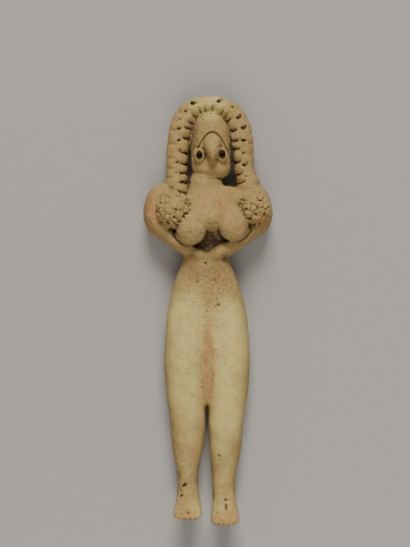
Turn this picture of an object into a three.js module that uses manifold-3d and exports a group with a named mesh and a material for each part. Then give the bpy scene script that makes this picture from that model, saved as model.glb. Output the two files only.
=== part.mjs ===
// A hand-modelled terracotta figurine of a standing woman, solid fired clay in one piece.
// The maker rolled and pinched every limb, pressed the pieces on to the body while the clay was wet and fired
// them as one, so the whole figurine is one solid.
// It lies on its back: +Y runs from the toes to the crown of the hair, +Z from the back to the front, and the
// figure's right hand is towards -X. The origin is the middle of its underside. Millimetres.
import * as THREE from "three";
import { mergeVertices } from "three/addons/utils/BufferGeometryUtils.js";
import Module from "manifold-3d";

const wasm = await Module();
wasm.setup();

// Driving dimensions. Levels are heights above the toes of the longer foot.
const LEVEL = {
  crown: 130,
  headTop: 123.4,
  brow: 118,
  eyes: 111.7,
  noseTip: 110.2,
  chin: 104.8,
  shoulders: 102.3,
  rosettes: 95,
  breasts: 88.8,
  waist: 80.5,
  hips: 55,
  crotch: 36.8,
  calves: 20.5,
  ankles: 11.4,
};
const HEAD_X = 1.4; // the head leans a little towards the figure's left
const FLOOR = 0; // the plane that the back was patted flat on
const MERGE = 1e-4;

// The two sides differ as the maker's hands left them. elbow is how much further one arm bows out, toes is how
// far each foot ends above the longer one's, and shin is how far a lower leg turns out. A breast has the x of its
// tip and of its top and how far it drops, and a rosette, the ball of hair on a shoulder, has its x, how far it
// sits above its level, and its half sizes.
const BOTH_SIDES = [
  { sign: -1, elbow: 0, toes: 1.5, shin: 0.45, breast: { x: -5.1, top: -1.4, drop: 0.4 }, rosette: [-10, 0, 5, 5.6] },
  { sign: 1, elbow: 0.6, toes: 0, shin: -0.35, breast: { x: 8.4, top: 3.4, drop: -0.7 }, rosette: [14.5, 0.8, 4.4, 4.8] },
];

// A closed geometry as a solid that can be joined and cut.
function solid(geometry) {
  const bare = geometry.clone();
  bare.deleteAttribute("normal");
  bare.deleteAttribute("uv");
  const merged = mergeVertices(bare, MERGE);
  return new wasm.Manifold(
    new wasm.Mesh({
      numProp: 3,
      vertProperties: new Float32Array(merged.attributes.position.array),
      triVerts: new Uint32Array(merged.index.array),
    }),
  );
}

// A limb's course through its stations, each of which gives the spine's x and y, the half width, and the levels
// of the limb's back and front. sizes gives the half width as x and the half depth as y.
function course(stations) {
  const spine = stations.map(({ x, y, back, front }) => new THREE.Vector3(x, y, (back + front) / 2));
  const sizes = stations.map(({ wide, back, front }, i) => new THREE.Vector3(wide, (front - back) / 2, i));
  return { spine: new THREE.CatmullRomCurve3(spine), sizes: new THREE.CatmullRomCurve3(sizes) };
}

// A closed limb of clay: a sphere's rings strung along a course. round holds the share of the limb that each
// end's dome takes, and square squares the section off where it is above 2.
function limb(stations, { rings, sides, round, square = 2 }) {
  const { spine, sizes } = course(stations);
  const geometry = new THREE.SphereGeometry(1, sides, rings);
  const { position, uv } = geometry.attributes;
  const up = new THREE.Vector3(0, 0, 1);
  for (let i = 0; i < position.count; i++) {
    const t = 1 - uv.getY(i);
    const angle = 2 * Math.PI * uv.getX(i);
    const along = spine.getTangent(t);
    const across = new THREE.Vector3().crossVectors(up, along).normalize();
    const outward = new THREE.Vector3().crossVectors(along, across);
    const dome = Math.sqrt(Math.max(0, 1 - Math.max(0, 1 - t / round[0], 1 - (1 - t) / round[1]) ** 2));
    const size = sizes.getPoint(t).multiplyScalar(dome);
    const squared = (v) => Math.sign(v) * Math.abs(v) ** (2 / square);
    const point = spine
      .getPoint(t)
      .addScaledVector(across, -size.x * squared(Math.cos(angle)))
      .addScaledVector(outward, size.y * squared(Math.sin(angle)));
    position.setXYZ(i, point.x, point.y, point.z);
  }
  return solid(geometry);
}

// A rounded lump of clay: an ellipsoid with its half sizes, placed and turned.
function lump([x, y, z], [wide, tall, deep], { turn = [0, 0, 0], sides = 12, rings = 8 } = {}) {
  const matrix = new THREE.Matrix4().compose(
    new THREE.Vector3(x, y, z),
    new THREE.Quaternion().setFromEuler(new THREE.Euler(...turn)),
    new THREE.Vector3(wide, tall, deep),
  );
  return solid(new THREE.SphereGeometry(1, sides, rings).rotateX(Math.PI / 2).applyMatrix4(matrix));
}

const join = (solids) => solids.reduce((all, next) => all.add(next));
const cut = (body, tools) => tools.reduce((left, tool) => left.subtract(tool), body);

// The trunk from the neck to between the thighs, where it thins out and leaves a groove.
function trunk() {
  return limb(
    [
      { x: HEAD_X, y: LEVEL.chin + 2, wide: 4, back: 3.6, front: 10.2 },
      { x: 1.2, y: LEVEL.shoulders + 0.6, wide: 5.2, back: 2.4, front: 11 },
      { x: 0.6, y: LEVEL.shoulders - 3, wide: 11.4, back: 0.2, front: 12.6 },
      { x: 0.4, y: LEVEL.rosettes, wide: 13.4, back: -0.5, front: 13.2 },
      { x: 0.2, y: LEVEL.breasts, wide: 11.6, back: -0.3, front: 12 },
      { x: 0, y: LEVEL.waist + 3.4, wide: 8.2, back: 0.6, front: 10.8 },
      { x: -0.15, y: LEVEL.waist, wide: 7.1, back: 1.1, front: 11.4 },
      { x: -0.2, y: LEVEL.waist - 6, wide: 9.4, back: 0.7, front: 12.4 },
      { x: -0.1, y: LEVEL.waist - 13, wide: 11.3, back: -0.2, front: 13.3 },
      { x: 0, y: LEVEL.hips + 5, wide: 12.3, back: -0.5, front: 13.5 },
      { x: 0, y: LEVEL.hips - 2.5, wide: 10, back: 0.4, front: 12.9 },
      { x: 0, y: LEVEL.hips - 10, wide: 5.2, back: 1.8, front: 10.9 },
      { x: 0, y: LEVEL.crotch + 1.4, wide: 1.8, back: 3.8, front: 8.4 },
    ],
    { rings: 28, sides: 18, round: [0.04, 0.04], square: 2.2 },
  );
}

function leg({ sign, toes, shin }) {
  return limb(
    [
      { x: sign * 4.8, y: LEVEL.hips + 12, wide: 4.4, back: 1.2, front: 11.2 },
      { x: sign * 6, y: LEVEL.hips + 4.6, wide: 6.2, back: -0.2, front: 12.7 },
      { x: sign * 6.5, y: LEVEL.hips - 5, wide: 6.6, back: -0.5, front: 13.3 },
      { x: sign * 6.4, y: LEVEL.crotch + 5.5, wide: 6.35, back: 0, front: 12.7 },
      { x: sign * 6.1, y: LEVEL.crotch, wide: 5.95, back: 0.3, front: 12.2 },
      { x: sign * 5.8, y: LEVEL.crotch - 5.4, wide: 5.4, back: 0.4, front: 11.6 },
      { x: sign * 5.75, y: LEVEL.calves + 5.4, wide: 5.05, back: 0.2, front: 11 },
      { x: sign * (5.75 + shin / 2), y: LEVEL.calves, wide: 4.5, back: 0, front: 10.3 },
      { x: sign * (5.5 + shin), y: LEVEL.ankles + 3.6, wide: 3.5, back: 0.4, front: 9.4 },
      { x: sign * (5.5 + shin), y: LEVEL.ankles - 0.4, wide: 3.25, back: 0.5, front: 9 },
      { x: sign * (5.5 + shin), y: 6.6 + toes, wide: 3.2, back: -0.2, front: 8.2 },
      { x: sign * (5.4 + shin), y: 3.4 + toes, wide: 2.7, back: 0.4, front: 5.4 },
    ],
    { rings: 23, sides: 14, round: [0.08, 0.06], square: 2.2 },
  );
}

// A paddle of a foot that slopes down from the ankle to a blunt row of toes.
function foot({ sign, toes, shin }) {
  const x = sign * (5.55 + shin / 2);
  return limb(
    [
      { x: sign * (5.5 + shin), y: 14 + toes, wide: 2.4, back: 3, front: 8.2 },
      { x, y: 8.2 + toes, wide: 3.3, back: 4, front: 9.6 },
      { x, y: 4.6 + toes, wide: 4, back: 6.8, front: 11.2 },
      { x: x + sign * 0.15, y: 2.4 + toes, wide: 4.45, back: 9.6, front: 13 },
      { x: x + sign * 0.2, y: 0.2 + toes, wide: 4.1, back: 11.4, front: 14.2 },
    ],
    { rings: 11, sides: 12, round: [0.2, 0.14], square: 2.4 },
  );
}

// A thick arm, bent at the elbow, whose forearm lies under the breasts and runs into the other at the waist.
function arm({ sign, elbow }) {
  return limb(
    [
      { x: sign * 5.4, y: LEVEL.shoulders - 4.4, wide: 2.8, back: 1.4, front: 10.8 },
      { x: sign * (12.4 + elbow), y: LEVEL.shoulders - 3.2, wide: 4.7, back: -0.4, front: 12 },
      { x: sign * (15.6 + elbow), y: LEVEL.rosettes + 0.4, wide: 3.8, back: -0.5, front: 12 },
      { x: sign * (14.9 + elbow), y: LEVEL.rosettes - 3.8, wide: 3.5, back: 0, front: 11.8 },
      { x: sign * (11.4 + elbow / 2), y: LEVEL.breasts - 0.9, wide: 2.8, back: 2.4, front: 12.6 },
      { x: sign * 6.6, y: LEVEL.waist + 4.2, wide: 2.4, back: 6.4, front: 13.2 },
      { x: sign * -0.6, y: LEVEL.waist + 1.2, wide: 2.2, back: 7.6, front: 12.8 },
    ],
    { rings: 18, sides: 10, round: [0.08, 0.08] },
  );
}

// A long breast that starts beside the breastbone, widens as it falls and ends in a round tip.
function breast({ breast: { x, top, drop } }) {
  const y = LEVEL.breasts - drop;
  return limb(
    [
      { x: top, y: y + 10, wide: 2.6, back: 7, front: 12.4 },
      { x: (x + top) / 2, y: y + 5, wide: 3.9, back: 7.6, front: 14.9 },
      { x: x * 0.9 + top * 0.1, y: y + 0.6, wide: 5, back: 8.6, front: 17.6 },
      { x, y: y - 4.3, wide: 4.6, back: 9.4, front: 17.4 },
    ],
    { rings: 11, sides: 14, round: [0.15, 0.36] },
  );
}

const ROSETTE_DEEP = 4.4;
const rosetteAt = ({ rosette: [x, rise] }) => [x, LEVEL.rosettes + rise, 12.4];

// The head is an egg, widest at the cheeks, with a broad chin.
function head() {
  return limb(
    [
      { x: HEAD_X - 0.1, y: LEVEL.headTop, wide: 3.6, back: 3.4, front: 9.4 },
      { x: HEAD_X, y: LEVEL.headTop - 2.8, wide: 4.9, back: 2, front: 11.2 },
      { x: HEAD_X, y: LEVEL.brow - 1, wide: 5.6, back: 1.4, front: 12.2 },
      { x: HEAD_X, y: LEVEL.eyes - 1.2, wide: 6.2, back: 1.6, front: 12.4 },
      { x: HEAD_X, y: LEVEL.chin + 2.6, wide: 5.9, back: 2.4, front: 12.6 },
      { x: HEAD_X, y: LEVEL.chin, wide: 4.9, back: 3.4, front: 11.8 },
    ],
    { rings: 16, sides: 14, round: [0.24, 0.24] },
  );
}

// A headband wound over the brow: a second skin on the head, open below in a pointed arch that frames the face.
const BAND = { thick: 0.5, archTop: LEVEL.brow + 0.3, archFoot: LEVEL.eyes + 1, archHalf: 4.8 };

function headband() {
  const skin = limb(
    [
      { x: HEAD_X - 0.1, y: LEVEL.headTop + 0.2, wide: 3.7 + BAND.thick, back: 3, front: 9.6 + BAND.thick },
      { x: HEAD_X, y: LEVEL.headTop - 2.8, wide: 4.9 + BAND.thick, back: 2, front: 11.2 + BAND.thick },
      { x: HEAD_X, y: LEVEL.brow - 1, wide: 5.6 + BAND.thick, back: 1.8, front: 12.3 + BAND.thick },
      { x: HEAD_X, y: BAND.archFoot, wide: 5.9, back: 2, front: 12 },
    ],
    { rings: 9, sides: 16, round: [0.24, 0.06] },
  );
  const foot = HEAD_X - BAND.archHalf;
  const opening = new THREE.Shape()
    .moveTo(foot, BAND.archFoot - 4)
    .lineTo(foot + 2 * BAND.archHalf, BAND.archFoot - 4)
    .lineTo(foot + 2 * BAND.archHalf, BAND.archFoot)
    .quadraticCurveTo(HEAD_X + BAND.archHalf * 0.7, BAND.archTop - 0.6, HEAD_X + 0.2, BAND.archTop)
    .quadraticCurveTo(HEAD_X - BAND.archHalf * 0.7, BAND.archTop - 0.6, foot, BAND.archFoot);
  const window = new THREE.ExtrudeGeometry(opening, { depth: 10, bevelEnabled: false, curveSegments: 6 });
  return cut(skin, [solid(window.translate(0, 0, 7))]);
}

// The nose is a beak pinched out of the whole upper face, from the brow to a blunt tip.
function nose() {
  const x = HEAD_X + 0.2;
  return limb(
    [
      { x, y: LEVEL.brow + 0.4, wide: 2.2, back: 9.4, front: 12.4 },
      { x: x - 0.1, y: LEVEL.brow - 3, wide: 3, back: 8.6, front: 14.8 },
      { x, y: LEVEL.noseTip + 1.8, wide: 2.1, back: 9, front: 17 },
      { x: x + 0.15, y: LEVEL.noseTip, wide: 1.3, back: 10, front: 16.8 },
    ],
    { rings: 9, sides: 10, round: [0.2, 0.2] },
  );
}

// Each eye is a pellet pressed on to the cheek, holed with a stick.
const EYES = [-3.6, 3.2].map((offset) => ({
  at: [HEAD_X + offset, LEVEL.eyes, 11.3],
  turn: [0, Math.sign(offset) * 0.42, 0],
}));
const PELLET = [1.7, 2.2, 1.5];
const EYE_HOLE = [0.95, 1.45, 2.4];

const eyePellets = () => EYES.map(({ at, turn }) => lump(at, PELLET, { turn }));

function eyeHoles() {
  return EYES.map(({ at: [x, y, z], turn }) =>
    lump([x + Math.sin(turn[1]), y, z + 1.4], EYE_HOLE, { turn, sides: 10, rings: 6 }),
  );
}

// The hair is a thick roll that arches over the head and runs out on both shoulders.
const ROLL = [
  { x: -9.4, y: LEVEL.shoulders - 3.4, wide: 4.2, back: 1.4, front: 11.4 },
  { x: -9.3, y: LEVEL.shoulders + 1, wide: 3.4, back: 2, front: 11.2 },
  { x: -9.3, y: LEVEL.chin + 1.7, wide: 3.2, back: 2.4, front: 10.6 },
  { x: -9.1, y: LEVEL.eyes, wide: 3.3, back: 2.6, front: 10 },
  { x: -8.6, y: LEVEL.brow - 1.3, wide: 3.35, back: 2.8, front: 9.8 },
  { x: -7.7, y: LEVEL.headTop - 2, wide: 3.3, back: 2.8, front: 9.4 },
  { x: -5.9, y: LEVEL.crown - 5.1, wide: 3, back: 2.8, front: 9 },
  { x: -2.8, y: LEVEL.crown - 3, wide: 2.6, back: 2.8, front: 8.7 },
  { x: 0.9, y: LEVEL.crown - 2.35, wide: 2.35, back: 2.8, front: 8.6 },
  { x: 4.7, y: LEVEL.crown - 3, wide: 2.6, back: 2.8, front: 8.7 },
  { x: 7.7, y: LEVEL.crown - 5.2, wide: 3, back: 2.8, front: 9 },
  { x: 9.7, y: LEVEL.headTop - 2, wide: 3.35, back: 2.8, front: 9.4 },
  { x: 10.75, y: LEVEL.brow - 1.3, wide: 3.4, back: 2.8, front: 9.8 },
  { x: 11, y: LEVEL.eyes, wide: 3.25, back: 2.6, front: 10 },
  { x: 11, y: LEVEL.chin + 2.9, wide: 3, back: 2.4, front: 10.6 },
  { x: 12.2, y: LEVEL.shoulders + 1, wide: 3.5, back: 2, front: 11.2 },
  { x: 12.9, y: LEVEL.shoulders - 3.4, wide: 4.2, back: 1.4, front: 11.4 },
];
const NOTCH = { pitch: 3.2, half: [1.5, 0.5, 1.2], rows: [-0.8, 0.7] };

const hairRoll = () => limb(ROLL, { rings: 38, sides: 10, round: [0.03, 0.03] });

// Two rows of gashes run along the front of the roll, one near each edge and half a step apart, like a plait.
function hairNotches() {
  const { spine, sizes } = course(ROLL);
  const count = Math.floor(spine.getLength() / NOTCH.pitch) - 1;
  return NOTCH.rows.flatMap((row, r) =>
    Array.from({ length: count }, (_, k) => {
      const t = spine.getUtoTmapping((k + 1 + r / 2) / (count + 1));
      const along = spine.getTangent(t);
      const across = new THREE.Vector3(0, 0, 1).cross(along).normalize();
      const size = sizes.getPoint(t);
      const point = spine
        .getPoint(t)
        .addScaledVector(across, size.x * Math.sin(row))
        .add(new THREE.Vector3(0, 0, size.y * Math.cos(row)));
      const gash = new THREE.OctahedronGeometry(1).scale(...NOTCH.half);
      const turn = Math.atan2(across.y, across.x);
      return solid(gash.rotateY(row).rotateZ(turn).translate(point.x, point.y, point.z));
    }),
  );
}

// A sheet of hair closes the arch behind the head, down to an open slit beside each cheek.
function hairBack() {
  return limb(
    [
      { x: 0.8, y: LEVEL.crown - 2.4, wide: 4, back: 2.6, front: 6 },
      { x: 0.9, y: LEVEL.headTop - 2, wide: 8.4, back: 1.9, front: 5.6 },
      { x: 1, y: LEVEL.brow - 2, wide: 9.7, back: 1.7, front: 5.4 },
      { x: 1.2, y: LEVEL.eyes - 1.6, wide: 9.9, back: 1.9, front: 5.2 },
    ],
    { rings: 8, sides: 14, round: [0.2, 0.3], square: 2.3 },
  );
}

// The hair ends in a ball on each shoulder, stabbed all over with a point.
function rosette(side) {
  const [x, y, z] = rosetteAt(side);
  const [, , wide, tall] = side.rosette;
  const pits = [
    [0, 1],
    [0.5, 5],
    [0.8, 7],
  ].flatMap(([reach, count]) =>
    Array.from({ length: count }, (_, k) => {
      const angle = (2 * Math.PI * (k + reach)) / count;
      const out = new THREE.Vector3(reach * Math.cos(angle), reach * Math.sin(angle), Math.sqrt(1 - reach ** 2));
      const pit = new THREE.OctahedronGeometry(1).scale(0.75, 0.36, 0.9).rotateZ(angle + Math.PI / 2);
      return solid(pit.translate(x + out.x * wide, y + out.y * tall, z + out.z * ROSETTE_DEEP));
    }),
  );
  return cut(lump([x, y, z], [wide, tall, ROSETTE_DEEP], { sides: 12, rings: 9 }), pits);
}

// Three short slits part the toes.
function toeSlits({ sign, toes }) {
  return [-2, -0.2, 1.7].map((offset) =>
    solid(
      new THREE.OctahedronGeometry(1)
        .scale(0.3, 1.5, 1.1)
        .rotateX(-0.5)
        .translate(sign * 5.8 + offset, 1 + toes, 13.6),
    ),
  );
}

const floorCut = solid(new THREE.BoxGeometry(80, 300, 10).translate(0, 60, FLOOR - 5));

const clay = join([
  trunk(),
  ...BOTH_SIDES.flatMap((side) => [leg(side), foot(side), arm(side), breast(side), rosette(side)]),
  head(),
  headband(),
  nose(),
  ...eyePellets(),
  hairRoll(),
  hairBack(),
]);
const figurineSolid = cut(clay, [
  ...eyeHoles(),
  ...hairNotches(),
  ...BOTH_SIDES.flatMap(toeSlits),
  floorCut,
]);

// A solid back as a three.js geometry.
function geometryOf(body) {
  const mesh = body.getMesh();
  return new THREE.BufferGeometry()
    .setAttribute("position", new THREE.BufferAttribute(mesh.vertProperties, 3))
    .setIndex(new THREE.BufferAttribute(mesh.triVerts, 1));
}

const terracotta = new THREE.MeshStandardMaterial({ color: 0xb59a6a, roughness: 0.92, metalness: 0 });
const geometry = geometryOf(figurineSolid);
geometry.computeVertexNormals();
geometry.computeBoundingBox();
const { min, max } = geometry.boundingBox;

const figurine = new THREE.Mesh(geometry, terracotta);
figurine.name = "figurine";
figurine.position.set(-(min.x + max.x) / 2, -(min.y + max.y) / 2, -min.z);

const part = new THREE.Group();
part.add(figurine);
export default part;
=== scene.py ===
# A terracotta figurine of a standing woman, modelled by hand from pale clay and fired in one piece.
# It lies on its back on a pale board: +Y runs from the toes to the crown of the hair, and +Z from
# the back to the front. The clay is worked in the figurine's own millimetres, with x measured from
# the midline, y up from the toes and z up from the flat of the back, and is set into the frame last.
import math
import random

import bmesh
import bpy
import numpy as np
from mathutils import Matrix, Vector, noise
from mathutils.bvhtree import BVHTree


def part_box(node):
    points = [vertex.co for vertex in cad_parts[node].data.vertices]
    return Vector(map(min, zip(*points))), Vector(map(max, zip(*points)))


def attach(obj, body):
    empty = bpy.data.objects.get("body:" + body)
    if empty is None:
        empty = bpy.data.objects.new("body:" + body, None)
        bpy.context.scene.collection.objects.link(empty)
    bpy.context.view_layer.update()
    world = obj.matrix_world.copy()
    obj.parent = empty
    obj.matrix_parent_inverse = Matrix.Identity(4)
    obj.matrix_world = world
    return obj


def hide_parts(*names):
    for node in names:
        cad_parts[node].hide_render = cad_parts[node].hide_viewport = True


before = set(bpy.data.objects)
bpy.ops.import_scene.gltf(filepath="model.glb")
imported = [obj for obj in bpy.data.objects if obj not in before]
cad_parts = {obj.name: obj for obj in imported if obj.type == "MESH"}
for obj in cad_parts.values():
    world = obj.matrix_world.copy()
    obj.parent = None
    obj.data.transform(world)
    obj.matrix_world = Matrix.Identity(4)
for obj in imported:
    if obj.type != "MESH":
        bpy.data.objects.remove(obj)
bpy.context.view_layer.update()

# ---------------------------------------------------------------- trunk and legs
# The body is a thick roll of clay, pinched in at the waist and split from the crotch down. The
# maker rolled the two legs to a taper and bent the ends forward for feet. Everything was pressed
# together and smoothed with wet fingers, so no seam shows between trunk and thighs.


def flow(stations, t):
    """Every measure of the stations at t, from 0 at the first to 1 at the last, on a smooth course."""
    place = min(max(t, 0), 1) * (len(stations) - 1)
    first = min(int(place), len(stations) - 2)
    s = place - first
    before, a, b, after = (
        stations[min(max(first + k, 0), len(stations) - 1)] for k in (-1, 0, 1, 2)
    )
    return [
        0.5 * (2 * q + (r - p) * s + (2 * p - 5 * q + 4 * r - o) * s**2 + (3 * q - p - 3 * r + o) * s**3)
        for p, q, r, o in zip(before, a, b, after)
    ]


def heading(stations, t, step=0.01):
    """The angle in the XY plane at which the stations run at t."""
    (x0, y0), (x1, y1) = flow(stations, t - step)[:2], flow(stations, t + step)[:2]
    return math.atan2(y1 - y0, x1 - x0)


def roll_clay(clay, stations, rings=40, sides=40, blunt=(0.08, 0.08), square=2.0, swell=None):
    """Adds a closed roll of clay. A station is x, y, half width, and the heights of back and front.

    blunt is the share of its length over which each end rounds off, square above 2 flattens its
    sides, and swell gives its fullness at a place along and around it.
    """
    last = None
    for i in range(rings):
        t = i / (rings - 1)
        x, y, wide, back, front = flow(stations, t)
        inward = max(0, 1 - t / blunt[0], 1 - (1 - t) / blunt[1])
        dome = max(math.sqrt(1 - inward**2), 0.02)
        turn = heading(stations, t)
        at_end = i in (0, rings - 1)
        ring = bmesh.ops.create_circle(clay, segments=sides, radius=1, cap_ends=at_end)["verts"]
        edges = list({e for v in ring for e in v.link_edges if len(e.link_faces) < 2})
        for v in ring:
            angle = math.atan2(v.co.y, v.co.x)
            sideways, upwards = math.cos(angle), math.sin(angle)
            fuller = dome * (swell(t, angle) if swell else 1)
            across = wide * fuller * math.copysign(abs(sideways) ** (2 / square), sideways)
            rise = (front - back) / 2 * fuller * math.copysign(abs(upwards) ** (2 / square), upwards)
            v.co = (x + across * math.sin(turn), y - across * math.cos(turn), (back + front) / 2 + rise)
        if last:
            bmesh.ops.bridge_loops(clay, edges=last + edges)
        last = edges


def lump_clay(clay, at, half, lean=0.0):
    """Adds a rounded lump of clay with the half sizes given, leaning to one side."""
    place = Matrix.Translation(at) @ Matrix.Rotation(lean, 4, "Y") @ Matrix.Diagonal((*half, 1))
    bmesh.ops.create_icosphere(clay, subdivisions=4, radius=1, matrix=place)


body = bmesh.new()

TRUNK = [
    (0.0, 107.0, 4.0, 3.6, 10.6),
    (-0.3, 104.2, 5.0, 2.8, 12.0),
    (-0.3, 101.8, 5.8, 2.2, 12.0),
    (0.2, 99.0, 11.2, 0.4, 12.2),
    (0.4, 95.0, 13.4, -0.4, 12.9),
    (0.2, 88.8, 11.6, -0.2, 10.4),
    (0.0, 84.6, 8.6, 0.6, 9.0),
    (-0.2, 80.0, 7.2, 1.1, 11.5),
    (-0.2, 74.5, 9.4, 0.6, 12.4),
    (-0.1, 67.5, 11.3, -0.2, 13.2),
    (0.0, 60.0, 12.4, -0.5, 13.4),
    (0.0, 52.5, 10.0, 0.4, 12.4),
    (0.0, 46.0, 5.6, 1.8, 11.6),
    (0.0, 40.5, 3.6, 2.6, 10.6),
    (0.0, 35.4, 1.6, 3.4, 8.8),
]
roll_clay(body, TRUNK, rings=70, sides=48, blunt=(0.04, 0.04), square=2.2)

# side is -1 for the figure's right and 1 for its left. toes is how far a foot ends above the longer
# one's, shin is how far the lower leg turns out and calf is how much thicker it is.
LEGS = {-1: {"toes": 1.5, "shin": 0.4, "calf": -0.2}, 1: {"toes": 0.0, "shin": -0.35, "calf": 0.15}}
for side, leg in LEGS.items():
    toes, shin, calf = leg["toes"], leg["shin"], leg["calf"]
    roll_clay(
        body,
        [
            (side * 4.6, 70.0, 4.0, 1.2, 11.0),
            (side * 5.8, 60.6, 6.2, -0.2, 12.8),
            (side * 6.45, 50.0, 6.6, -0.5, 13.3),
            (side * 6.4, 42.3, 6.35, 0.0, 12.7),
            (side * 6.1, 36.8, 5.95, 0.3, 12.2),
            (side * 5.8, 31.4, 5.4, 0.4, 11.6),
            (side * 5.75, 25.9, 5.05, 0.2, 11.0),
            (side * (5.75 + shin / 2), 20.5, 4.45 + calf, 0.0, 10.3),
            (side * (5.5 + shin), 15.0, 3.6 + calf, 0.4, 9.4),
            (side * (5.5 + shin), 11.0, 3.35 + calf, 0.5, 9.0),
            (side * (5.5 + shin), 6.6 + toes, 3.4, -0.2, 8.4),
            (side * (5.4 + shin), 3.4 + toes, 2.8, 0.4, 5.6),
        ],
        rings=70,
        blunt=(0.08, 0.06),
        square=2.2,
    )
    instep = side * (5.55 + shin / 2)
    roll_clay(
        body,
        [
            (side * (5.5 + shin), 14.0 + toes, 2.4, 3.0, 8.2),
            (instep, 8.2 + toes, 3.3, 4.0, 9.4),
            (instep, 4.6 + toes, 4.0, 6.8, 11.2),
            (instep + side * 0.15, 2.4 + toes, 4.45, 9.4, 13.0),
            (instep + side * 0.2, 0.2 + toes, 4.1, 11.2, 14.2),
        ],
        rings=40,
        blunt=(0.2, 0.14),
        square=2.5,
    )

# ---------------------------------------------------------------- arms
# Each arm is one thick sausage, bent round at the elbow. The forearms run in under the breasts and
# meet in the middle of the waist, with no hands. The maker left them rougher than the body.
ELBOW_OUT = {-1: 0.0, 1: 0.6}
for side, out in ELBOW_OUT.items():
    roll_clay(
        body,
        [
            (side * 5.4, 96.4, 2.8, 1.4, 10.8),
            (side * (12.4 + out), 98.9, 4.7, -0.4, 12.0),
            (side * (15.6 + out), 95.4, 3.8, -0.5, 12.0),
            (side * (14.9 + out), 91.2, 3.5, 0.0, 12.0),
            (side * (11.4 + out / 2), 87.7, 2.8, 2.2, 12.2),
            (side * 6.4, 83.7, 2.4, 5.0, 12.3),
            (side * -0.3, 80.1, 1.9, 6.4, 12.2),
        ],
        rings=60,
        blunt=(0.08, 0.07),
    )

# ---------------------------------------------------------------- breasts
# Two long cones of clay start beside the breastbone, swell as they hang outwards and end in round
# tips that stand clear of the forearms. Wet fingers drew their tops into one smooth chest plate,
# which bridges the two and ends over a three-cornered hollow.
BREASTS = {-1: {"tip": (-5.05, 88.6), "top": -0.8}, 1: {"tip": (8.3, 89.9), "top": 2.8}}
for side, breast in BREASTS.items():
    (x, y), top = breast["tip"], breast["top"]
    roll_clay(
        body,
        [
            (top, y + 10.0, 2.6, 6.8, 12.8),
            ((x + top) / 2, y + 5.0, 4.0, 7.4, 15.0),
            (x * 0.88 + top * 0.12, y + 1.0, 5.0, 8.4, 17.2),
            (x, y - 4.6, 4.7, 9.2, 17.0),
        ],
        rings=48,
        blunt=(0.15, 0.42),
    )
roll_clay(
    body,
    [
        (-0.2, 102.0, 4.2, 7.0, 11.6),
        (1.0, 97.6, 6.4, 8.0, 13.4),
        (1.6, 93.0, 5.4, 9.0, 14.8),
        (1.6, 88.4, 2.8, 9.6, 12.8),
    ],
    rings=30,
    blunt=(0.3, 0.3),
)


def as_object(name, clay):
    """A worked bmesh as an object, with its faces outwards."""
    bmesh.ops.recalc_face_normals(clay, faces=clay.faces)
    mesh = bpy.data.meshes.new(name)
    clay.to_mesh(mesh)
    clay.free()
    thing = bpy.data.objects.new(name, mesh)
    bpy.context.scene.collection.objects.link(thing)
    return thing


def finish_modifiers(thing):
    """Makes the object's modifiers part of its mesh."""
    done = thing.evaluated_get(bpy.context.evaluated_depsgraph_get())
    thing.data = bpy.data.meshes.new_from_object(done)
    thing.modifiers.clear()


def knead(thing, grain, strokes, strength=0.5):
    """Presses overlapping clay into one skin with facets of grain, then rubs it smooth."""
    fuse = thing.modifiers.new("fuse", "REMESH")
    fuse.mode = "VOXEL"
    fuse.voxel_size = grain
    rub = thing.modifiers.new("rub", "SMOOTH")
    rub.factor = strength
    rub.iterations = strokes
    finish_modifiers(thing)


smoothed_body = as_object("smoothed_body", body)
knead(smoothed_body, grain=0.4, strokes=6)

# ---------------------------------------------------------------- head and face
# The head is an egg of clay on a broad neck. A beak of a nose was pinched out of the whole upper
# face, and each eye is a pellet pressed on to the cheek.
HEAD_X = 1.4
details = bmesh.new()
roll_clay(
    details,
    [
        (HEAD_X - 0.1, 123.4, 3.4, 3.4, 8.6),
        (HEAD_X, 120.8, 4.9, 2.0, 10.8),
        (HEAD_X, 117.0, 5.6, 1.4, 12.1),
        (HEAD_X, 110.6, 6.2, 1.6, 12.5),
        (HEAD_X - 0.3, 107.2, 5.75, 2.4, 12.7),
        (HEAD_X - 0.5, 104.5, 4.8, 3.4, 11.8),
    ],
    rings=48,
    blunt=(0.26, 0.2),
    square=2.1,
)
NOSE_X = 1.65
roll_clay(
    details,
    [
        (NOSE_X, 118.2, 1.5, 9.4, 12.0),
        (NOSE_X, 116.0, 2.7, 8.6, 14.6),
        (NOSE_X, 113.6, 2.5, 9.0, 16.6),
        (NOSE_X, 111.2, 1.7, 10.0, 17.0),
        (NOSE_X + 0.1, 109.0, 0.85, 11.0, 16.2),
    ],
    rings=40,
    blunt=(0.2, 0.12),
    square=1.8,
)
EYES = {-1: (-2.3, 111.4), 1: (4.6, 111.6)}
EYE_HALF, EYE_LEAN, CHEEK_HIGH = (1.75, 2.35, 1.8), 0.42, 11.8
for side, (x, y) in EYES.items():
    lump_clay(details, (x, y, CHEEK_HIGH), EYE_HALF, lean=side * EYE_LEAN)

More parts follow.
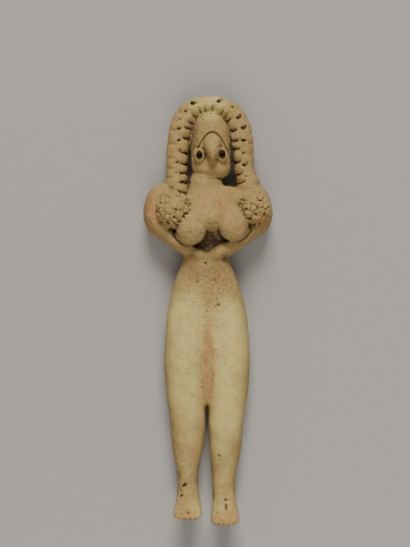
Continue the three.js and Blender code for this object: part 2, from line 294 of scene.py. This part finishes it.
# ---------------------------------------------------------------- hair
# A thick roll of clay arches over the head and runs out on to both shoulders. It was stabbed along
# its middle and nicked along its inner edge while soft, so it swelled into lobes between the marks.
# A thin sheet of clay closes the arch behind the head, down to an open slit beside each cheek.
HAIR = [
    (-9.4, 98.9, 4.2, 1.4, 11.4),
    (-9.3, 103.3, 3.5, 2.0, 11.2),
    (-9.3, 106.5, 3.2, 2.4, 10.6),
    (-9.1, 111.7, 3.3, 2.6, 10.1),
    (-8.6, 116.7, 3.4, 2.8, 9.9),
    (-7.7, 121.4, 3.3, 2.8, 9.6),
    (-5.9, 124.9, 3.0, 2.8, 9.3),
    (-2.8, 127.0, 2.65, 2.8, 9.0),
    (0.9, 127.65, 2.4, 2.8, 8.9),
    (4.7, 127.0, 2.65, 2.8, 9.0),
    (7.7, 124.8, 3.0, 2.8, 9.3),
    (9.6, 121.4, 3.35, 2.8, 9.6),
    (10.65, 116.7, 3.45, 2.8, 9.9),
    (11.0, 111.7, 3.3, 2.6, 10.1),
    (11.4, 107.7, 2.95, 2.4, 10.6),
    (12.6, 103.3, 3.4, 2.0, 11.2),
    (12.9, 98.9, 4.2, 1.4, 11.4),
]
LOBES = 22  # along each side of the roll
INNER_SWELL, OUTER_SWELL = 0.26, 0.1  # how much the roll's half width varies from lobe to lobe


def hair_swell(t, angle):
    """The lobes: one row along each side of the roll, half a lobe apart, fuller on the inside."""
    row = 0.5 if math.cos(angle) > 0 else 0.0
    fullness = abs(math.sin(math.pi * (LOBES * t + row + 0.16 * math.sin(41 * t)))) ** 0.5
    front = min(1.0, max(0.0, math.sin(angle) * 0.7 + 0.5))
    sideways = min(1.0, abs(math.cos(angle)) * 2.5)
    swelling = INNER_SWELL if math.cos(angle) > 0 else OUTER_SWELL
    return 1 + swelling * (fullness - 0.7) * front * sideways


roll_clay(details, HAIR, rings=260, sides=48, blunt=(0.03, 0.03), swell=hair_swell)
roll_clay(
    details,
    [
        (0.8, 127.6, 4.0, 2.6, 7.4),
        (0.9, 122.4, 8.0, 1.9, 7.8),
        (1.0, 117.0, 9.7, 1.7, 7.6),
        (1.2, 111.6, 9.9, 1.9, 6.6),
    ],
    rings=40,
    blunt=(0.2, 0.3),
    square=2.3,
)

# ---------------------------------------------------------------- balls of hair
# The hair ends in a ball of clay on each shoulder.
BALLS = {-1: ((-10.1, 95.0, 12.4), (5.0, 5.6, 4.4)), 1: ((14.45, 95.6, 12.4), (4.5, 4.8, 4.4))}
for at, half in BALLS.values():
    lump_clay(details, at, half)

figurine = as_object("figurine_clay", details)
with_body = bmesh.new()
with_body.from_mesh(figurine.data)
with_body.from_mesh(smoothed_body.data)
with_body.to_mesh(figurine.data)
with_body.free()
bpy.data.objects.remove(smoothed_body)
knead(figurine, grain=0.25, strokes=3)

# ---------------------------------------------------------------- marks of the pointed stick
# Every hole and gash was made with one pointed stick while the clay was soft: the eyes, the row of
# stabs along the hair, the stabs that make the balls of hair look curly, and the slits between the
# toes. A few deep flaws in the feet, the shins and the waist are cut with them.
rng = random.Random(7)
marks = bmesh.new()
DOWN = Vector((0, 0, -1))


def skin_of(thing):
    """A tree of the object's skin, to drop points on."""
    clay = bmesh.new()
    clay.from_mesh(thing.data)
    tree = BVHTree.FromBMesh(clay)
    clay.free()
    return tree


skin = skin_of(figurine)


def skin_under(x, y):
    """The point of the skin straight under x, y, or None where there is no clay."""
    above_the_clay = 40
    return skin.ray_cast(Vector((x, y, above_the_clay)), DOWN)[0]


def stab(x, y, long, wide, deep, turn=0.0):
    """Cuts one rounded stab of the stick, straight down into the skin."""
    at = skin_under(x, y)
    if at is None:
        return
    place = Matrix.Translation(at) @ Matrix.Rotation(turn, 4, "Z")
    size = Matrix.Diagonal((long / 2, wide / 2, deep, 1))
    bmesh.ops.create_icosphere(marks, subdivisions=3, radius=1, matrix=place @ size)


def slash(x, y, long, wide, deep, turn=0.0):
    """Cuts one slit with a ragged mouth, deeper at one end, where the stick's point went in first."""
    at = skin_under(x, y)
    if at is None:
        return
    tilt = Matrix.Rotation(turn, 4, "Z") @ Matrix.Rotation(rng.uniform(0.15, 0.5), 4, "Y")
    place = Matrix.Translation(at) @ tilt @ Matrix.Diagonal((long / 2, wide / 2, deep, 1))
    bmesh.ops.create_cone(
        marks,
        cap_ends=True,
        segments=7,
        radius1=0.05,
        radius2=1.25,
        depth=1.4,
        matrix=place @ Matrix.Translation((0, 0, -0.3)),
    )


EYE_HOLE = (1.95, 2.9, 2.8)  # width, height and depth
for x, y in EYES.values():
    stab(x, y, *EYE_HOLE)

# The row of stabs along the roll of hair: x, y, length, width, depth and turn of each.
HAIR_STABS = [
    (-4.2, 127.7, 2.8, 1.3, 1.8, -0.1),
    (-6.5, 125.1, 1.5, 1.2, 1.3, 0.5),
    (-8.2, 122.6, 1.6, 0.9, 0.8, 0.2),
    (-8.6, 119.7, 2.4, 1.0, 1.2, 0.0),
    (-8.4, 116.2, 2.2, 1.0, 1.1, 0.1),
    (-8.1, 113.0, 1.6, 1.0, 1.0, -0.3),
    (-8.9, 109.5, 2.2, 1.0, 1.1, 0.1),
    (-9.2, 106.3, 1.6, 0.8, 0.7, 0.2),
    (3.8, 128.3, 2.8, 1.2, 1.8, 0.35),
    (4.6, 128.9, 1.4, 0.9, 1.4, -0.6),
    (7.8, 126.4, 1.7, 1.2, 1.5, -0.6),
    (9.7, 123.2, 2.4, 1.2, 1.7, 0.4),
    (10.1, 123.8, 1.8, 0.9, 1.4, 1.5),
    (11.1, 120.0, 2.4, 1.4, 1.7, 0.1),
    (11.7, 120.5, 1.4, 0.8, 1.4, 1.2),
    (11.2, 116.2, 2.8, 1.1, 1.7, 0.0),
    (11.1, 112.3, 2.2, 0.9, 0.9, 0.3),
    (11.4, 108.7, 2.2, 1.3, 1.7, 0.0),
    (12.3, 109.3, 1.2, 0.8, 1.2, 1.1),
    (11.8, 105.2, 1.4, 0.9, 0.9, 0.2),
]
PULLED_LONG, PULLED_WIDE = 1.15, 1.3  # how much the stick widened a stab as it was pulled out
for x, y, long, wide, deep, turn in HAIR_STABS:
    slash(x, y, PULLED_LONG * long, PULLED_WIDE * wide, deep, turn)

STABS = 10  # in each ball of hair
GOLDEN = math.pi * (3 - math.sqrt(5))
for at, half in BALLS.values():
    for k in range(STABS):
        reach = math.sqrt((k + 0.3) / STABS) * 0.97
        turn = k * GOLDEN
        x, y = at[0] + half[0] * reach * math.cos(turn), at[1] + half[1] * reach * math.sin(turn)
        around = turn + math.pi / 2 + rng.uniform(-0.9, 0.9)
        slash(x, y, rng.uniform(1.2, 2.2), rng.uniform(0.6, 1.0), rng.uniform(0.7, 1.2), around)

FOOT_OUT, TOE_GAPS = 5.8, (-2.4, -0.9, 0.7, 2.3)
TOE_SLIT = (0.6, 1.8, 0.6)  # width, length and depth
for side, leg in LEGS.items():
    for gap in TOE_GAPS:
        stab(side * FOOT_OUT + gap, 0.5 + leg["toes"], *TOE_SLIT, rng.uniform(-0.2, 0.2))

# Deep flaws: x, y, length, width, depth and turn of each.
FLAWS = [
    (-7.1, 11.5, 2.8, 1.3, 1.1, 0.7),
    (-8.2, 10.2, 2.2, 1.0, 1.0, 1.2),
    (-7.7, 8.6, 2.6, 1.1, 1.0, 0.7),
    (-8.6, 14.9, 1.4, 1.6, 0.6, 0.2),
    (-7.4, 13.0, 1.0, 0.8, 0.6, 0.2),
    (5.8, 7.4, 2.2, 1.6, 1.1, 0.0),
    (5.8, 5.9, 3.6, 1.2, 1.2, 1.57),
    (-5.5, 4.2, 1.3, 1.3, 1.0, 0.0),
    (-8.1, 3.9, 1.2, 1.2, 0.8, 0.0),
    (3.0, 3.9, 1.2, 1.2, 0.9, 0.0),
    (4.5, 1.0, 1.6, 1.1, 0.8, 0.3),
    (7.4, 0.9, 1.2, 0.9, 0.7, 0.2),
    (3.6, 20.7, 1.4, 1.4, 0.9, 0.2),
    (-7.2, 18.7, 1.4, 1.0, 0.6, 0.1),
    (-0.4, 79.1, 1.3, 1.0, 0.9, -0.6),
    (1.7, 77.7, 1.3, 0.9, 0.9, 0.3),
    (-0.5, 74.9, 1.0, 0.9, 0.7, 0.5),
    (-2.9, 73.4, 1.4, 1.1, 0.8, 0.5),
    (-5.4, 73.8, 1.4, 0.9, 0.6, -0.1),
    (3.4, 66.4, 1.4, 1.1, 0.7, 0.6),
    (-4.9, 88.0, 1.1, 1.1, 1.0, 0.0),
]
for flaw in FLAWS:
    slash(*flaw)

stick_marks = as_object("stick_marks", marks)
knead(stick_marks, grain=0.12, strokes=1)
press = figurine.modifiers.new("press", "BOOLEAN")
press.operation = "DIFFERENCE"
press.solver = "MANIFOLD"
press.object = stick_marks
finish_modifiers(figurine)
bpy.data.objects.remove(stick_marks)
knead(figurine, grain=0.23, strokes=1)


def drop_crumbs(thing):
    """Keeps only the largest connected piece of clay and drops any crumb that the cuts left."""
    clay = bmesh.new()
    clay.from_mesh(thing.data)
    unseen, pieces = set(clay.verts), []
    while unseen:
        front = [unseen.pop()]
        piece = list(front)
        while front:
            joined = [e.other_vert(v) for v in front for e in v.link_edges]
            front = [v for v in set(joined) if v in unseen]
            unseen.difference_update(front)
            piece += front
        pieces.append(piece)
    pieces.sort(key=len)
    bmesh.ops.delete(clay, geom=[v for piece in pieces[:-1] for v in piece], context="VERTS")
    clay.to_mesh(thing.data)
    clay.free()


drop_crumbs(figurine)

# ---------------------------------------------------------------- the skin of the clay
# The headband was laid over the brow as a strip and scored with fine lines, and creases part the
# lobes and curls of the hair. Fingers left soft hollows all over, grit dragged across the arms and
# shoulders, and the ground has since eaten small pits into the skin.


def points(thing):
    """The object's vertices and their normals, as two arrays."""
    mesh = thing.data
    spots, ways = np.zeros((2, len(mesh.vertices), 3), np.float32)
    mesh.vertices.foreach_get("co", spots.ravel())
    mesh.vertex_normals.foreach_get("vector", ways.ravel())
    return spots, ways


def smoothstep(low, high, value):
    """0 where the value is at low or past it, 1 at high, and a smooth ramp between them."""
    s = np.clip((value - low) / (high - low), 0, 1)
    return s * s * (3 - 2 * s)


def lumps(spots, size, seed, depth=3):
    """Cloudy unevenness between about -1 and 1, with lumps of the given size in millimetres."""
    shift = Vector((seed * 17.3, seed * 5.9, seed * 11.1))
    return np.array([noise.fractal(Vector(s) / size + shift, 0.9, 2.1, depth) for s in spots.tolist()])


def ridge(value, at, wide):
    """A rounded ridge across the value: 1 where it is at, and close to 0 a few widths away."""
    return np.exp(-(((value - at) / wide) ** 2))


def near(spots, x, y, wide, tall):
    """How near each point is to x, y in the plane: 1 there, and 0 past the half sizes given."""
    return np.clip(1 - np.hypot((spots[:, 0] - x) / wide, (spots[:, 1] - y) / tall), 0, 1)


def refine(thing, wanted):
    """Splits the facets whose corners are all wanted, so that they can hold finer marks."""
    clay = bmesh.new()
    clay.from_mesh(thing.data)
    edges = [e for e in clay.edges if wanted[e.verts[0].index] and wanted[e.verts[1].index]]
    bmesh.ops.subdivide_edges(clay, edges=edges, cuts=1, use_grid_fill=True)
    clay.to_mesh(thing.data)
    clay.free()


def in_ball(spots, at, half):
    """How far each point is from the middle of a ball of hair, as a share of the ball's own size."""
    return np.linalg.norm((spots - np.array(at)) / np.array(half), axis=1)


BREAST_END = (4.9, 4.55)  # half width and half height of a breast's round end


def under_breasts(spots):
    """How near each point is to the crease round the end of a breast, where it rests on the forearm."""
    found = 0
    for breast in BREASTS.values():
        tx, ty = breast["tip"]
        apart = np.hypot((spots[:, 0] - tx) / BREAST_END[0], (spots[:, 1] - ty) / BREAST_END[1])
        lower_half = smoothstep(ty + 2.0, ty - 2.0, spots[:, 1]) * smoothstep(8, 10, spots[:, 2])
        found = found + ridge(apart, 1.03, 0.06) * lower_half
    return found


spots, ways = points(figurine)
fine = (near(spots, HEAD_X, 114.0, 7.2, 10.4) > 0) & (spots[:, 2] > 8.5)
for at, half in BALLS.values():
    fine |= (in_ball(spots, at, half) < 1.15) & (spots[:, 2] > 11)
refine(figurine, fine)

spots, ways = points(figurine)
x, y, z = spots.T
raised = np.zeros(len(spots))

# The headband: the arch's foot falls away from its top as a parabola.
ARCH_TOP, ARCH_FALL, BAND_THICK = 118.5, 0.25, 0.55
SCORE_GAP, SCORE_DEEP = 0.66, 0.2
on_head = smoothstep(0, 0.06, near(spots, HEAD_X, 115.0, 6.9, 9.4)) * smoothstep(6.0, 8.0, z)
above_arch = y - (ARCH_TOP - ARCH_FALL * (x - 1.6) ** 2)
band_foot = smoothstep(110.5, 114.0, y)
band = smoothstep(-0.05, 0.2, above_arch) * on_head * band_foot
raised += BAND_THICK * band
raised -= 0.25 * ridge(above_arch, -0.15, 0.22) * on_head * band_foot
line = (y + 0.035 * (x - HEAD_X) ** 2) / SCORE_GAP
scored = smoothstep(0.2, 0.95, np.cos(2 * np.pi * line)) * smoothstep(0.5, 1.2, above_arch) * band
raised -= SCORE_DEEP * scored * smoothstep(125.0, 122.5, y)

# A crease below the eyes, and the seam where the chin sits on the neck.
CHEEK_LINE, CHIN_LINE = 108.9, 104.5
raised -= 0.14 * np.exp(-(((y - CHEEK_LINE) / 0.8) ** 2) - ((x - HEAD_X) / 3.6) ** 4) * on_head
chin_seam = y - CHIN_LINE - 0.02 * (x - HEAD_X) ** 2
raised -= 0.3 * np.exp(-((chin_seam / 0.28) ** 2) - ((x - HEAD_X) / 4.8) ** 6) * smoothstep(8.0, 9.5, z)

# A crease runs round each eye, and the rim inside it stands up.
for ex, ey in EYES.values():
    apart = np.hypot((x - ex) / EYE_HALF[0], (y - ey) / EYE_HALF[1])
    raised += (0.08 * ridge(apart, 0.84, 0.12) - 0.2 * ridge(apart, 1.08, 0.09)) * on_head

# Creases part the lobes of the roll of hair. across runs from -1 outside the roll to 1 inside it.
course = np.array([[*flow(HAIR, t)[:3], heading(HAIR, t), t] for t in np.linspace(0.02, 0.98, 300)])
on_hair = np.flatnonzero((y > 101) & (z > 3.5) & (on_head < 0.5))
nearest = np.array([np.argmin((x[i] - course[:, 0]) ** 2 + (y[i] - course[:, 1]) ** 2) for i in on_hair])
cx, cy, wide, turn, t = course[nearest].T
across = ((x[on_hair] - cx) * np.sin(turn) - (y[on_hair] - cy) * np.cos(turn)) / wide
slip = t + 0.1 * lumps(spots[on_hair], 2.5, 9) / LOBES
weaker_at_crown = 1 - 0.5 * smoothstep(117.0, 125.0, cy)
inner = smoothstep(0.15, 0.55, across) * smoothstep(1.3, 1.0, across) * weaker_at_crown
outer = smoothstep(0.05, 0.3, -across) * smoothstep(0.95, 0.7, -across) * smoothstep(4.0, -2.0, cx)
for row, reach, deep in ((0.5, inner, 0.5), (0.0, outer, 0.25)):
    gap = np.sin(np.pi * (LOBES * slip + row + 0.16 * np.sin(41 * t)))
    raised[on_hair] -= deep * reach * ridge(gap, 0, 0.25)

raised -= 0.6 * under_breasts(spots)

# The balls of hair are a crowd of small lumps with deep creases between them.
CURL = 2.6  # how wide one lump is
CURL_SEED = 1795151691  # how the lumps lie, which would change on each run if left unseeded
noise.seed_set(CURL_SEED)
for at, half in BALLS.values():
    shell = in_ball(spots, at, half)
    for i in np.flatnonzero((shell < 1.2) & (z > 10.5)):
        spot = Vector(spots[i].tolist())
        apart = noise.voronoi(spot / CURL + 0.3 * noise.noise_vector(spot / 1.8))[0]
        crease = 1 - min(1.0, (apart[1] - apart[0]) / 0.3)
        edge = 1 - smoothstep(1.0, 1.2, shell[i])
        raised[i] += edge * (0.4 - 0.5 * crease - 0.4 * apart[0])

# Fingers, grit and the bare grain of the clay.
roughest = np.maximum(smoothstep(84.0, 92.0, y), 0.25) * (1 - 0.7 * on_head)
raised += 0.2 * lumps(spots, 11.0, 1, depth=2) + 0.08 * lumps(spots, 3.2, 2, depth=2)
raised += (0.03 + 0.09 * roughest) * lumps(spots, 0.9, 3, depth=2)

# Pits that the ground has eaten, thickest around the waist and the shoulders.
PITS = 1100
for _ in range(PITS):
    pick = rng.randrange(len(spots))
    middle = spots[pick]
    likely = 0.1 + 0.7 * math.exp(-(((middle[1] - 74) / 9) ** 2)) + 0.3 * (84 < middle[1] < 104)
    if rng.random() < likely * (1 - on_head[pick]):
        wide = rng.uniform(0.16, 0.36)
        apart = np.linalg.norm(spots - middle, axis=1) / wide
        raised -= 0.9 * wide * ridge(apart, 0, 1)

spots = spots + ways * raised[:, None]
spots[:, 2] = np.maximum(spots[:, 2], 0)
figurine.data.vertices.foreach_set("co", spots.astype(np.float32).ravel())
figurine.data.update()

LIMIT = 196000  # triangles
plain = figurine.vertex_groups.new(name="plain")
plain.add([int(i) for i in np.flatnonzero(on_head < 0.5)], 1.0, "REPLACE")
figurine.data.calc_loop_triangles()
thin = figurine.modifiers.new("thin", "DECIMATE")
thin.vertex_group = "plain"
thin.vertex_group_factor = 1.0
thin.ratio = LIMIT / len(figurine.data.loop_triangles)
thin.use_collapse_triangulate = True
finish_modifiers(figurine)
figurine.vertex_groups.clear()

# ---------------------------------------------------------------- earth, painted shade, cream and blushes
# Brown earth and painted shade darken everything deep: behind the head, under the breasts and in the
# holes. The clay fired unevenly, cream on the thighs and the hair and orange where the fire caught it.


def shut_in(spots, ways, reach=7.0, rays=16):
    """How shut in each point is, from 0 in the open to 1, by looking out a short way all round."""
    tree = skin_of(figurine)
    looks = []
    for k in range(rays):
        up = 1 - (k + 0.5) / rays
        out = math.sqrt(1 - up * up)
        looks.append((out * math.cos(k * GOLDEN), out * math.sin(k * GOLDEN), up))
    found = np.zeros(len(spots))
    for i, (spot, way) in enumerate(zip(spots.tolist(), ways.tolist())):
        way = Vector(way)
        start = Vector(spot) + way * 0.05
        turn = way.to_track_quat("Z", "Y")
        for look in looks:
            reached = tree.ray_cast(start, turn @ Vector(look), reach)[3]
            if reached is not None:
                found[i] += (1 - reached / reach) / rays
    return found


def evened(values, strokes):
    """The values after being evened out along the mesh's edges."""
    mesh = figurine.data
    ends = np.zeros(len(mesh.edges) * 2, np.int32)
    mesh.edges.foreach_get("vertices", ends)
    a, b = ends[0::2], ends[1::2]
    near_by = np.bincount(ends, minlength=len(values))[:, None]
    for _ in range(strokes):
        sums = [np.bincount(a, v[b], len(values)) + np.bincount(b, v[a], len(values)) for v in values.T]
        values = values * 0.3 + 0.7 * np.stack(sums, 1) / near_by
    return values


spots, ways = points(figurine)
x, y, z = spots.T
# Painted shade, with some brown earth: the colour darkens where the clay is shut in, in small and wide
# hollows and in the crease round the end of each breast.
small_hollow = ((evened(spots, 6) - spots) * ways).sum(1)
wide_hollow = ((evened(spots, 40) - spots) * ways).sum(1)
shade = evened(shut_in(spots, ways)[:, None], 2)[:, 0]
earth_and_shade = 0.85 * smoothstep(0.24, 0.75, shade) + 0.4 * smoothstep(0.03, 0.16, small_hollow)
earth_and_shade += 0.35 * smoothstep(0.08, 0.6, wide_hollow) + 0.35 * under_breasts(spots)

# Places where the colour changes: x, y, half width, half height and strength.
CREAM = [
    (-6, 60, 10, 18, 0.9),
    (6, 55, 10, 20, 1),
    (6, 36, 9, 17, 0.8),
    (-6, 40, 9, 16, 0.8),
    (0, 20, 14, 18, 0.3),
    (1, 127, 9, 6, 0.7),
    (6, 4, 6, 6, 0.35),
    (-6, 4, 6, 6, 0.35),
]
BLUSH = [
    (-17, 93, 4, 12, 1),
    (17, 91, 4, 8, 0.6),
    (-5, 77, 4, 7, 0.9),
    (4, 75, 5, 6, 0.7),
    (0.2, 47, 3.2, 19, 1),
    (8, 14, 3, 6, 0.5),
    (-5.6, 3.2, 4, 2.6, 0.6),
    (5.6, 2.2, 4, 2.6, 0.6),
    (-11, 112, 3, 9, 0.4),
    (-3.5, 22, 2.5, 10, 0.4),
    (1.4, 109, 5, 3, 0.3),
    (3, 98, 7, 7, 0.6),
]
# Dark patches. Most are painted shade: in the eye holes, in the gap right of the face, in the hollow
# under the breasts, under the forearms, inside the bent arms and along the edge under the toes. The rest
# darken the flaws on the shins and belly and dull the hair's right side and the waist.
STAINS_AND_SHADE = [
    (-2.3, 111.4, 1.1, 1.6, 0.6),
    (4.6, 111.6, 1.1, 1.6, 0.8),
    (7.3, 112.5, 1.3, 8.0, 0.9),
    (1.0, 85.5, 3.6, 5.6, 1),
    (5.6, 80.2, 1.6, 2.4, 0.8),
    (3.3, 66.6, 1.6, 1.8, 0.5),
    (-4.3, 81.4, 1.4, 1.3, 0.6),
    (-8.4, 14.6, 1.4, 2.6, 0.7),
    (-8.0, 21.5, 1.4, 1.8, 0.4),
    (-8.0, 10.2, 2.0, 3.0, 0.35),
    (-5.8, 1.0, 4.6, 1.5, 0.8),
    (5.6, -0.5, 4.6, 1.5, 0.8),
    (11.5, 113, 5, 12, 0.35),
    (0, 78, 13, 8, 0.5),
    (-11, 90, 6, 6, 0.2),
    (13, 90, 6, 5, 0.2),
]
SPECKS = [
    (0, 72, 13, 15, 1),
    (0, 92, 20, 13, 0.6),
    (1, 116, 14, 18, 0.5),
    (0, 50, 14, 24, 0.5),
    (0, 10, 12, 18, 0.6),
]


def painted(patches):
    """The patches laid over each other, from 0 to 1, on the front of the figurine only."""
    front = smoothstep(2.0, 5.0, z)
    left = np.ones(len(spots))
    for px, py, wide, tall, strength in patches:
        left *= 1 - strength * front * smoothstep(0, 0.7, near(spots, px, py, wide, tall))
    return 1 - left


layers = {"cream": painted(CREAM), "blush": painted(BLUSH), "specks": painted(SPECKS)}
layers["earth_and_shade"] = np.clip(earth_and_shade + painted(STAINS_AND_SHADE) * 0.8, 0, 1)
for name, values in layers.items():
    painting = figurine.data.attributes.new(name, "FLOAT", "POINT")
    painting.data.foreach_set("value", values.astype(np.float32))

# The worked clay is set into the frame at its real size.
TOES_TO_CROWN, MIDDLE_X, TOES_Y = 129.8, 0.31, 0.2  # of the clay as it was worked
low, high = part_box("figurine")
MM = (high.y - low.y) / TOES_TO_CROWN  # one of the figurine's millimetres, in metres
set_down = Matrix.Translation(((low.x + high.x) / 2 - MIDDLE_X * MM, low.y - TOES_Y * MM, 0))
figurine.data.transform(set_down @ Matrix.Scale(MM, 4))
for face in figurine.data.polygons:
    face.use_smooth = True
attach(figurine, "root")
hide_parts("figurine")

# ---------------------------------------------------------------- fired clay
# Unglazed low-fired clay: matte, chalky and mottled, with sandy grain, darker flecks of grit and
# brown earth, and painted shade that hides the clay wherever it is thick.
terracotta = bpy.data.materials.new("fired_clay")
terracotta.use_nodes = True
nodes, links = terracotta.node_tree.nodes, terracotta.node_tree.links
shader = nodes["Principled BSDF"]
place = nodes.new("ShaderNodeTexCoord").outputs["Object"]


def cloud(size, detail=4.0, roughness=0.6):
    """Cloudy noise with lumps of the size given in the figurine's millimetres."""
    node = nodes.new("ShaderNodeTexNoise")
    node.inputs["Scale"].default_value = 1 / (size * MM)
    node.inputs["Detail"].default_value = detail
    node.inputs["Roughness"].default_value = roughness
    links.new(place, node.inputs["Vector"])
    return node.outputs["Fac"]


def spread(value, low, high, least=0.0, most=1.0):
    """The value's stretch from low to high, spread from least to most and kept between them."""
    node = nodes.new("ShaderNodeMapRange")
    for name, amount in (("From Min", low), ("From Max", high), ("To Min", least), ("To Max", most)):
        node.inputs[name].default_value = amount
    links.new(value, node.inputs["Value"])
    return node.outputs["Result"]


def sum_up(how, a, b):
    """Two values, or a value and a number, taken together."""
    node = nodes.new("ShaderNodeMath")
    node.operation = how
    for socket, term in zip(node.inputs, (a, b)):
        if isinstance(term, (int, float)):
            socket.default_value = term
        else:
            links.new(term, socket)
    return node.outputs[0]


def layer(name):
    """One of the figurine's painted layers, read back from its mesh."""
    node = nodes.new("ShaderNodeAttribute")
    node.attribute_name = name
    return node.outputs["Fac"]


def over(under, colour, amount):
    """The colour laid over what is under it, as thickly as amount says."""
    node = nodes.new("ShaderNodeMix")
    node.data_type = "RGBA"
    links.new(amount, node.inputs["Factor"])
    if isinstance(under, tuple):
        node.inputs["A"].default_value = (*under, 1)
    else:
        links.new(under, node.inputs["A"])
    node.inputs["B"].default_value = (*colour, 1)
    return node.outputs["Result"]


def ragged(name, size, bite=0.9):
    """A painted layer whose edge is broken up by noise."""
    bitten = sum_up("MULTIPLY", spread(cloud(size), 0.3, 0.7, -0.5, 0.5), bite)
    return spread(sum_up("ADD", layer(name), bitten), 0.1, 0.9)


BUFF, CREAM_CLAY, ORANGE = (0.315, 0.205, 0.066), (0.53, 0.415, 0.135), (0.34, 0.165, 0.05)
PINK, GRIT_AND_SHADE, BROWN_EARTH_AND_SHADE = (0.38, 0.225, 0.115), (0.16, 0.092, 0.03), (0.052, 0.03, 0.009)
skin_colour = over(BUFF, CREAM_CLAY, ragged("cream", 9.0, 0.6))
skin_colour = over(skin_colour, ORANGE, sum_up("MULTIPLY", ragged("blush", 4.0), 0.8))
skin_colour = over(skin_colour, PINK, spread(cloud(5.0, 3.0), 0.56, 0.7, 0.0, 0.45))
skin_colour = over(skin_colour, CREAM_CLAY, spread(cloud(1.3, 5.0, 0.7), 0.52, 0.72, 0.0, 0.5))
skin_colour = over(skin_colour, GRIT_AND_SHADE, spread(cloud(0.8, 3.0, 0.7), 0.6, 0.72, 0.0, 0.55))
speck = sum_up("MULTIPLY", layer("specks"), spread(cloud(0.85, 3.0), 0.57, 0.65))
skin_colour = over(skin_colour, BROWN_EARTH_AND_SHADE, sum_up("MULTIPLY", speck, 0.65))
# Brown earth and painted shade: where the deep layer is thick, grit brown and then dark brown are laid
# over the clay as shade in the hollows.
soiled_and_shaded = sum_up("ADD", layer("earth_and_shade"), spread(cloud(0.9, 4.0, 0.7), 0.35, 0.7, -0.25, 0.2))
skin_colour = over(skin_colour, GRIT_AND_SHADE, spread(soiled_and_shaded, 0.1, 0.6, 0.0, 0.8))
skin_colour = over(skin_colour, BROWN_EARTH_AND_SHADE, spread(soiled_and_shaded, 0.6, 0.95))
links.new(skin_colour, shader.inputs["Base Color"])
links.new(spread(cloud(1.0), 0.3, 0.7, 0.82, 0.98), shader.inputs["Roughness"])

grain = nodes.new("ShaderNodeBump")
grain.inputs["Strength"].default_value = 0.5
grain.inputs["Distance"].default_value = 0.2 * MM
coarse_grain = sum_up("MULTIPLY", cloud(1.1, 3.0), 0.6)
links.new(sum_up("ADD", cloud(0.35, 4.0, 0.7), coarse_grain), grain.inputs["Height"])
links.new(grain.outputs["Normal"], shader.inputs["Normal"])
figurine.data.materials.clear()
figurine.data.materials.append(terracotta)

# ---------------------------------------------------------------- board, light and camera
# A plain pale board lies under the figurine. One broad soft light stands beyond the crown of the
# hair, so the shadows fall towards the feet, and a weak one past the feet lifts them a little. The
# camera looks straight down.
BOARD_COLOUR = (0.345, 0.324, 0.29)
board = bmesh.new()
bmesh.ops.create_grid(board, x_segments=1, y_segments=1, size=2)
floor = as_object("floor", board)
paper = bpy.data.materials.new("pale_board")
paper.use_nodes = True
paper_shader = paper.node_tree.nodes["Principled BSDF"]
paper_shader.inputs["Base Color"].default_value = (*BOARD_COLOUR, 1)
paper_shader.inputs["Roughness"].default_value = 0.9
floor.data.materials.append(paper)


def lamp(name, at, size, power):
    """Hangs a square soft light, turned towards the middle of the figurine."""
    light = bpy.data.lights.new(name, "AREA")
    light.size = size
    light.energy = power
    thing = bpy.data.objects.new(name, light)
    thing.location = at
    thing.rotation_euler = (-Vector(at)).to_track_quat("-Z", "Y").to_euler()
    bpy.context.scene.collection.objects.link(thing)


lamp("window", at=(0.03, 1.5, 1.25), size=0.8, power=46)
lamp("fill", at=(0.02, -0.42, 0.5), size=0.5, power=2.2)
ROOM_BRIGHTNESS = 0.26
world = bpy.data.worlds.new("room")
world.use_nodes = True
room = world.node_tree.nodes["Background"]
room.inputs["Color"].default_value = (1, 1, 1, 1)
room.inputs["Strength"].default_value = ROOM_BRIGHTNESS
bpy.context.scene.world = world

LENS, FILM = 85, 36
camera = bpy.data.objects.new("camera", bpy.data.cameras.new("camera"))
camera.data.lens = LENS
camera.data.sensor_width = FILM
camera.data.sensor_height = FILM
camera.data.sensor_fit = "VERTICAL"
PICTURE_TALL = 1.277 * (high.y - low.y)  # what the camera sees, toes to crown and a margin
camera.location = (-0.9 * MM, 10.8 * MM, 9 * MM + PICTURE_TALL * LENS / FILM)
bpy.context.scene.collection.objects.link(camera)
bpy.context.scene.camera = camera
